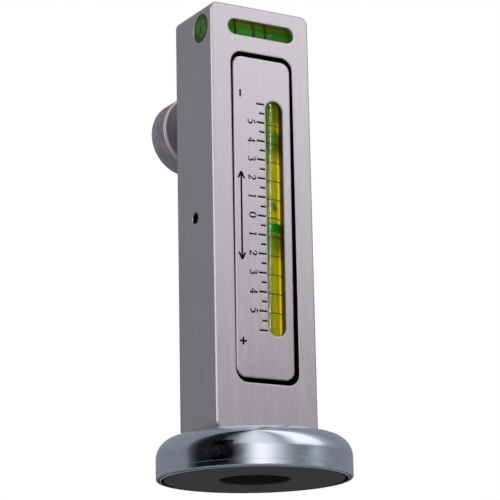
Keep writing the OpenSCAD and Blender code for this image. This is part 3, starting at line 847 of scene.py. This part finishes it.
# Strokes of each digit as (right, up, width) points, in a box one unit high
DIGITS = {
    "0": [[(0.33, 0.97, 0.05), (0.12, 0.80, 0.12), (0.06, 0.50, 0.16), (0.12, 0.20, 0.12),
           (0.33, 0.03, 0.05), (0.54, 0.20, 0.12), (0.60, 0.50, 0.16), (0.54, 0.80, 0.12)]],
    "1": [[(0.34, 0.98, 0.12), (0.34, 0.5, 0.13), (0.34, 0.02, 0.13)],
          [(0.12, 0.84, 0.04), (0.24, 0.90, 0.06), (0.35, 0.98, 0.05)],
          [(0.16, 0.02, 0.05), (0.34, 0.03, 0.06), (0.52, 0.02, 0.05)]],
    "2": [[(0.10, 0.72, 0.12), (0.14, 0.87, 0.07), (0.32, 0.97, 0.06), (0.50, 0.86, 0.13),
           (0.51, 0.66, 0.15), (0.36, 0.40, 0.09), (0.08, 0.06, 0.05)],
          [(0.06, 0.06, 0.07), (0.30, 0.06, 0.12), (0.50, 0.06, 0.11), (0.60, 0.22, 0.04)]],
    "3": [[(0.10, 0.80, 0.10), (0.18, 0.93, 0.06), (0.34, 0.97, 0.07), (0.48, 0.85, 0.13),
           (0.45, 0.67, 0.12), (0.24, 0.55, 0.05)],
          [(0.24, 0.55, 0.05), (0.44, 0.50, 0.10), (0.55, 0.32, 0.16), (0.47, 0.12, 0.12),
           (0.28, 0.02, 0.06), (0.08, 0.10, 0.11)]],
    "4": [[(0.42, 0.98, 0.05), (0.24, 0.64, 0.05), (0.04, 0.29, 0.05)],
          [(0.03, 0.28, 0.07), (0.32, 0.28, 0.07), (0.62, 0.28, 0.07)],
          [(0.44, 0.99, 0.12), (0.44, 0.5, 0.13), (0.44, 0.02, 0.13)],
          [(0.28, 0.02, 0.05), (0.44, 0.03, 0.06), (0.60, 0.02, 0.05)]],
    "5": [[(0.56, 0.98, 0.05), (0.36, 0.92, 0.13), (0.19, 0.93, 0.10)],
          [(0.19, 0.94, 0.05), (0.15, 0.74, 0.05), (0.11, 0.55, 0.05)],
          [(0.11, 0.55, 0.05), (0.32, 0.60, 0.09), (0.52, 0.46, 0.15), (0.53, 0.24, 0.15),
           (0.36, 0.06, 0.09), (0.08, 0.05, 0.10)]],
}
CLOSED_DIGITS = ("0",)
# The middle of a digit's width, and the width of a sign's lines
GLYPH_MID = 0.32
SIGN_WIDTH = 0.12
# How a stroke's width becomes the half width of its paint
PEN_MIN, PEN_SHARE, PEN_EXTRA = 0.03, 0.62, 0.012


def smooth_stroke(stroke, closed, parts=6):
    """Points of a smooth curve through a stroke's points, with some parts between each two."""
    n = len(stroke)
    found = []
    for i in range(n if closed else n - 1):
        a, b, c, d = [Vector(stroke[k % n] if closed else stroke[min(max(k, 0), n - 1)])
                      for k in (i - 1, i, i + 1, i + 2)]
        for step in range(parts):
            t = step / parts
            found.append(0.5 * (2 * b + (c - a) * t + (2 * a - 5 * b + 4 * c - d) * t * t
                                + (3 * b - 3 * c + d - a) * t ** 3))
    if not closed:
        found.append(Vector(stroke[-1]))
    return found


def stroke_mesh(stroke, closed, place):
    """A painted stroke as a thin closed ribbon. place takes right, up and out."""
    path = smooth_stroke(stroke, closed)
    n = len(path)
    points = []
    for i, p in enumerate(path):
        before = path[(i - 1) % n] if closed else path[max(i - 1, 0)]
        after = path[(i + 1) % n] if closed else path[min(i + 1, n - 1)]
        ahead = Vector((after.x - before.x, after.y - before.y)).normalized()
        side = Vector((-ahead.y, ahead.x)) * (max(p.z, PEN_MIN) * PEN_SHARE + PEN_EXTRA)
        for k, out in ((1, -PAINT / 2), (-1, -PAINT / 2), (-1, PAINT), (1, PAINT)):
            points.append(place(p.x + k * side.x, p.y + k * side.y, out))
    faces = grid_faces(n, 4, closed=closed)
    if not closed:
        faces += end_caps(n, 4)
    return points, faces


def on_plate(vial, x, z, size):
    """Places glyphs on a plate, turned a quarter so that they read with the bar laid on its side."""
    side = vial["side"]

    def place(right, up, out):
        return on_carriage(x - side * (up - 0.5) * size, side * (PLATE_FACE + out),
                           z - (right - GLYPH_MID) * size)

    return place


def numbers(name, vial, size, step):
    """The degrees beside a scale's marks, one number to each step of them."""
    x = vial["x"] + vial["side"] * (SLOT_HALF + MARK_GAP + MARK_LONG + NUMBER_GAP + size / 2)
    parts = []
    for i in range(-vial["count"] + 1, vial["count"]):
        if i % step == 0:
            place = on_plate(vial, x, vial["mid"] + i * vial["step"], size)
            digit = str(abs(i))
            for stroke in DIGITS[digit]:
                parts.append(stroke_mesh(stroke, digit in CLOSED_DIGITS, place))
    make(name, *joined(parts), "carriage", None, [ink], smooth=False)


numbers("camber_numbers", CAMBER, size=2.45, step=1)
numbers("caster_numbers", CASTER, size=1.9, step=2)


def line(points, place):
    """A painted line of even width. points are (right, up) pairs."""
    return stroke_mesh([(right, up, SIGN_WIDTH) for right, up in points], False, place)


def signs(name, vial, x, high, low, size, shaft):
    """A minus sign at a height, a plus sign at a lower one and an arrow with two heads between them."""
    mid = GLYPH_MID
    strokes = []
    for z, upright in ((high, False), (low, True)):
        place = on_plate(vial, x, z, size)
        strokes.append(line([(0.0, 0.5), (mid, 0.5), (2 * mid, 0.5)], place))
        if upright:
            strokes.append(line([(mid, 0.18), (mid, 0.5), (mid, 0.82)], place))
    place = on_plate(vial, x, (high + low) / 2, size)
    reach = shaft / size / 2
    strokes.append(line([(mid - reach, 0.5), (mid, 0.5), (mid + reach, 0.5)], place))
    for way in (-1, 1):
        tip = mid + way * reach
        for up in (-1, 1):
            barb = [(tip - way * back, 0.5 + up * back / 2) for back in (0.0, 0.3, 0.6)]
            strokes.append(line(barb, place))
    make(name, *joined(strokes), "carriage", None, [ink], smooth=False)


signs("camber_signs", CAMBER, x=-7.3, high=36.4, low=-36.9, size=3.4, shaft=26.0)
signs("caster_signs", CASTER, x=7.0, high=8.4, low=-29.0, size=2.6, shaft=14.0)


# Adjusting knob


def knob_place(a, b, along):
    """Places points from the knob's axis, along the bar's depth."""
    return in_bar(a, along, KNOB_Z + b)


def ring(radius, along, steps):
    """A round row of (radius, along) pairs."""
    return [(radius, along)] * steps


def rings_to_points(rows, place):
    """Points of rows whose radius may change on the way round."""
    points = []
    for row in rows:
        for j, (r, along) in enumerate(row):
            a = 2 * math.pi * j / len(row)
            points.append(place(r * math.cos(a), r * math.sin(a), along))
    return points


def knob_mesh():
    """Head with a diamond knurl round its rim, turned faces and the collar under it, as one closed surface.

    The third value is the range of the knurl's faces.
    """
    steps, count = 4 * KNURL_TEETH, 34
    bore, rim = THREAD_R - 0.02, KNOB_R - KNOB_CHAMFER
    bevel, corner, broken, edge = 0.3, 0.25, 0.15, 0.03
    rows = [ring(bore, COLLAR_Y, steps), ring(COLLAR_R - bevel, COLLAR_Y, steps),
            ring(COLLAR_R, COLLAR_Y + bevel, steps), ring(COLLAR_R, HEAD_Y - corner, steps),
            ring(COLLAR_R + corner, HEAD_Y, steps), ring(rim - broken, HEAD_Y, steps),
            ring(rim, HEAD_Y + edge, steps)]
    first_side = len(rows)
    start, end = HEAD_Y + KNOB_CHAMFER, KNOB_END_Y - KNOB_CHAMFER
    for i in range(count + 1):
        along = start + (end - start) * i / count
        climb = (along - start) / (2 * math.pi * KNOB_R / KNURL_TEETH)
        fade = min(1.0, 4 * min(i, count - i) / count + 0.1)
        row = []
        for j in range(steps):
            turn = KNURL_TEETH * j / steps
            one = abs(((turn + climb) % 1.0) - 0.5) * 2
            two = abs(((turn - climb) % 1.0) - 0.5) * 2
            row.append((KNOB_R - KNURL_DEPTH * fade * (1 - min(one, two)) ** 1.5, along))
        rows.append(row)
    last_side = len(rows)
    mouth, sink = THREAD_R + 0.8, KNOB_END_Y - 0.5
    rows += [ring(rim, KNOB_END_Y, steps), ring(mouth, KNOB_END_Y, steps),
             ring(mouth - 0.5, sink, steps), ring(bore, sink, steps)]
    faces = grid_faces(len(rows), steps, closed=True)
    return rings_to_points(rows, knob_place), faces, range(first_side * steps, (last_side - 1) * steps)


points, faces, knurl_faces = knob_mesh()
knob = make("knob_knurled", points, faces, "adjusting_knob", "knob", [lathe_turned, knurled], sharp=38)
for index in knurl_faces:
    knob.data.polygons[index].material_index = 1
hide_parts("knob_head")


def screw_mesh():
    """The adjusting screw: round nose, neck and a thread that climbs one pitch a turn into the head."""
    steps, per_turn, nose_rows = 36, 8, 8
    crest_r = THREAD_R - 0.01
    core = THREAD_R - THREAD_DEPTH
    neck_y, end_y = NOSE_Y + NOSE_LEN, KNOB_END_Y - KNOB_CHAMFER
    rows = []
    for i in range(1, nose_rows + 1):
        a = math.pi / 2 * i / nose_rows
        rows.append(ring(NOSE_R * math.sin(a), NOSE_Y + NOSE_R * (1 - math.cos(a)), steps))
    slope, runout = 0.4, 0.15
    rows += [ring(NOSE_R, neck_y - slope, steps), ring(core, neck_y + 0.05, steps)]
    start, end = neck_y + runout, end_y - runout
    count = int((end - start) / PITCH * per_turn)
    for i in range(count + 1):
        along = start + (end - start) * i / count
        row = []
        for j in range(steps):
            phase = (along / PITCH - j / steps) % 1.0
            crest = min(1.0, max(0.0, (1 - 2 * abs(phase - 0.5)) * 1.25 - 0.06))
            row.append((core + (crest_r - core) * crest, along))
        rows.append(row)
    rows.append(ring(core, end_y, steps))
    return rings_to_points(rows, knob_place), grid_faces(len(rows), steps) + end_caps(len(rows), steps)


screw = make("adjusting_screw_threaded", *screw_mesh(), "adjusting_knob", "knob_screw", [zinc], sharp=40)
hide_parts("adjusting_screw")


# Springs


def spring_mesh(ends, outer, wire, turns, x, z):
    """Round wire coiled along the bar's depth between two ends, with an outer diameter and a wire's."""
    steps, sides = 32 * turns, 12
    radius = (outer - wire) / 2
    length = ends[1] - ends[0] - wire
    path = []
    for i in range(steps + 1):
        a = 2 * math.pi * turns * i / steps
        path.append(in_bar(x + radius * math.cos(a), ends[0] + wire / 2 + length * i / steps,
                           z + radius * math.sin(a)))
    return tube(path, wire / 2, sides)


KNOB_SPRING = (11.0, 21.3)
points, faces = spring_mesh(KNOB_SPRING, outer=9.6, wire=1.1, turns=5, x=0.0, z=KNOB_Z)
coil = make("knob_spring_coil", points, faces, None, "spring", [spring_wire], sharp=60)
in_bar(0, KNOB_SPRING[0], KNOB_Z) * MM
in_bar(0, KNOB_SPRING[1], KNOB_Z) * MM
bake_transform(coil)
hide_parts("knob_spring")
RETURN_SPRING = (0.193, 9.1)
RETURN_X, RETURN_Z = 0.3, 32.5
points, faces = spring_mesh(RETURN_SPRING, outer=4.8, wire=0.6, turns=7, x=RETURN_X, z=RETURN_Z)
coil = make("return_spring_coil", points, faces, None, "spring", [spring_wire], sharp=60)
in_bar(RETURN_X, RETURN_SPRING[1], RETURN_Z) * MM
in_bar(RETURN_X, RETURN_SPRING[0], RETURN_Z) * MM
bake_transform(coil)
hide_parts("return_spring")


# Studio, in metres


STUDIO_STEPS = 96


def plain_mesh(name, points, faces, mat):
    """A mesh in metres with one material."""
    mesh = bpy.data.meshes.new(name)
    mesh.from_pydata(points, [], faces)
    mesh.materials.append(mat)
    return mesh


def circle(radius, z):
    """Points of a level circle in metres, the first one to the right."""
    turns = [2 * math.pi * j / STUDIO_STEPS for j in range(STUDIO_STEPS)]
    return [(radius * math.cos(a), radius * math.sin(a), z) for a in turns]


def floor_material():
    """Pale floor that keeps the object's shadow and is clear from below."""
    mat, tree = new_material("floor")
    diffuse = tree.new("BsdfDiffuse")
    is_camera = tree.new("LightPath").outputs["Is Camera Ray"]
    tree.feed(diffuse.inputs["Color"], tree.mix(is_camera, (0.40, 0.40, 0.40), (0.80, 0.80, 0.80)))
    mixed = tree.new("MixShader")
    tree.feed(mixed.inputs["Fac"], tree.new("NewGeometry").outputs["Backfacing"])
    tree.feed(mixed.inputs[1], diffuse.outputs[0])
    tree.feed(mixed.inputs[2], tree.new("BsdfTransparent").outputs[0])
    tree.surface(mixed.outputs[0])
    return mat


# The floor's opening under the magnet cup lets light from below reach the magnet
FLOOR_HALF, FLOOR_HOLE, FLOOR_Z = 3.0, 0.0268, -0.0002
n = STUDIO_STEPS
points = circle(FLOOR_HOLE, FLOOR_Z) + circle(FLOOR_HALF, FLOOR_Z)
faces = [(j, n + j, n + (j + 1) % n, (j + 1) % n) for j in range(n)]
placed("floor", plain_mesh("floor", points, faces, floor_material()))

# Directions round the object are measured from the camera's side, in degrees to its right
CAMERA_AZIMUTH = math.radians(30.26)
SURROUND_R = 1.5
# Brightness that metal mirrors at each direction, near the floor's level and above it
LOW_LIGHT = [(-180, 0.27), (-86, 0.27), (-78, 0.10), (-68, 0.012), (-40, 0.008), (-22, 0.03),
             (-14, 0.16), (-7, 0.6), (0, 1.1), (8, 1.4), (18, 1.15), (28, 0.75), (36, 0.5), (44, 0.30),
             (54, 0.18), (65, 0.28), (74, 0.44), (84, 0.37), (95, 0.28), (180, 0.27)]
HIGH_LIGHT = [(-180, 0.31), (-86, 0.30), (-78, 0.08), (-68, 0.012), (-42, 0.012), (-26, 0.2),
              (-12, 0.7), (0, 1.0), (20, 0.8), (34, 0.4), (46, 0.9), (54, 1.4), (80, 1.4), (96, 0.5),
              (120, 0.31), (180, 0.31)]
LOW_TO, HIGH_FROM = 11, 20
# The lamps in front are warm, and directions far from the camera's side are tinted by the sky
WARM, PLAIN, COOL = (1.1, 1.03, 1.0), (1.0, 1.0, 1.0), (1.0, 1.0, 1.07)
WARM_TO, COOL_FROM = 30, 80

# Ends of the names of the pieces that a light is kept to or kept from
VIAL_GLASS = ("vial_tube_polished",)
BRIGHT_EDGED = ("body_frame", "knob_knurled")


def hidden_card(name, mesh, state, ends):
    """A studio card seen only in reflections, kept to or from the pieces whose names have some ends."""
    obj = placed(name, mesh)
    obj.visible_camera = False
    obj.visible_diffuse = False
    obj.visible_transmission = False
    obj.visible_shadow = False
    group = bpy.data.collections.new(name + "_light")
    for piece in bpy.data.objects:
        if piece.name.endswith(ends):
            group.objects.link(piece)
    for link in group.collection_objects:
        link.light_linking.link_state = state
    obj.light_linking.receiver_collection = group
    return obj


def tinted(direction, brightness):
    """A brightness as a colour, by its direction in degrees."""
    tint = WARM if abs(direction) < WARM_TO else COOL if abs(direction) > COOL_FROM else PLAIN
    return tuple(brightness * c for c in tint)


def glowing(name):
    """A material that only glows, its nodes and its Emission shader."""
    mat, tree = new_material(name)
    glow = tree.new("Emission")
    tree.surface(glow.outputs[0])
    return mat, tree, glow


def surround():
    """A drum of studio cards that metal and gloss mirror, bright in front and dark to the left.

    The vials' tubes don't see it, or it would grey their fluids.
    """
    mat, tree, glow = glowing("surround")
    mat.cycles.emission_sampling = "NONE"
    x, y, z = tree.axes(tree.new("TexCoord").outputs["Object"])
    turn = tree.math("ARCTAN2", x, tree.math("MULTIPLY", y, -1.0))
    around = tree.math("ADD", turn, CAMERA_AZIMUTH)
    share = tree.math("FRACT", tree.math("MULTIPLY_ADD", around, 0.5 / math.pi, 1.5))
    low, high = [tree.ramp(share, [((d + 180) / 360, tinted(d, v)) for d, v in lights])
                 for lights in (LOW_LIGHT, HIGH_LIGHT)]
    rise = tree.level(tree.math("MULTIPLY", z, 1 / SURROUND_R),
                      [(math.tan(math.radians(LOW_TO)), 0.0), (math.tan(math.radians(HIGH_FROM)), 1.0)])
    tree.feed(glow.inputs["Color"], tree.mix(rise, low, high))
    rows = ((1.0, -0.8), (1.0, 0.0), (1.0, 0.8), (1.0, 1.8), (0.5, 1.9), (0.01, 1.9))
    points = [p for narrow, z in rows for p in circle(SURROUND_R * narrow, z)]
    mesh = plain_mesh("surround", points, grid_faces(len(rows), STUDIO_STEPS), mat)
    hidden_card("surround", mesh, "EXCLUDE", VIAL_GLASS)


def strip_light(name, ends, width, strength, pieces):
    """A narrow light on a few pieces alone. ends are (degrees, height) pairs, and width is in degrees."""
    mat, tree, glow = glowing(name)
    glow.inputs["Strength"].default_value = strength
    radius, steps = SURROUND_R * 0.9, 12
    points, faces = [], []
    for i in range(steps + 1):
        degrees, z = [a + (b - a) * i / steps for a, b in zip(*ends)]
        for d in (-width / 2, width / 2):
            a = math.radians(degrees + d) - CAMERA_AZIMUTH
            points.append((radius * math.sin(a), -radius * math.cos(a), z))
    for i in range(steps):
        faces.append((2 * i, 2 * i + 1, 2 * i + 3, 2 * i + 2))
    card = hidden_card(name, plain_mesh(name, points, faces, mat), "INCLUDE", pieces)
    card.visible_transmission = True


surround()
strip_light("glass_line", ((5.0, 0.28), (61.0, 0.60)), width=2.0, strength=110.0, pieces=VIAL_GLASS)
strip_light("edge_line", ((-37.0, -0.1), (-37.0, 0.9)), width=26.0, strength=2.5, pieces=BRIGHT_EDGED)


def lamp(name, place, target, size, power):
    """A square lamp that lights the object and shows in no reflection."""
    data = bpy.data.lights.new(name, "AREA")
    data.size = size
    data.energy = power
    obj = placed(name, data)
    obj.location = place
    obj.rotation_mode = "QUATERNION"
    obj.rotation_quaternion = (Vector(target) - Vector(place)).to_track_quat("-Z", "Y")
    obj.visible_glossy = False


lamp("key", (0.55, -0.75, 0.75), target=(0, 0, 0.08), size=0.5, power=5.0)
lamp("fill", (-0.9, -0.3, 0.35), target=(0, 0, 0.07), size=0.6, power=1.5)

# The world is white where it is seen, and lights the object more softly
WORLD_SEEN, WORLD_LIGHT = 1.0, 0.6
world = bpy.data.worlds.new("studio")
bpy.context.scene.world = world
world.use_nodes = True
tree = Nodes(world.node_tree, "Background")
path = tree.new("LightPath")
seen = tree.math("MAXIMUM", path.outputs["Is Camera Ray"], path.outputs["Is Glossy Ray"])
seen = tree.math("MAXIMUM", seen, path.outputs["Is Transmission Ray"])
tree.put(Color=(1.0, 1.0, 1.0, 1.0),
         Strength=tree.math("MULTIPLY_ADD", seen, WORLD_SEEN - WORLD_LIGHT, WORLD_LIGHT))

# The camera, fitted to the photograph's edges, with its place in millimetres
FOCAL_PIXELS, PICTURE_PIXELS, SENSOR = 2094.653, 500, 36.0
EYE = Vector((-297.5288, -509.7513, -83.0021))
RIGHT = Vector((0.8660051, -0.4996651, -0.0192358))
UP = Vector((-0.1071275, -0.2229712, 0.9689208))
FORWARD = Vector((0.4884249, 0.8370297, 0.2466221))
camera_data = bpy.data.cameras.new("camera")
camera_data.sensor_width = SENSOR
camera_data.lens = FOCAL_PIXELS / PICTURE_PIXELS * SENSOR
camera_data.clip_start = 0.05
camera_data.clip_end = 20.0
camera = placed("camera", camera_data)
turn = Matrix((RIGHT, UP, -FORWARD)).transposed()
camera.matrix_world = Matrix.Translation(EYE * MM) @ turn.to_4x4()
bpy.context.scene.camera = camera

bpy.context.scene.view_settings.view_transform = "Standard"
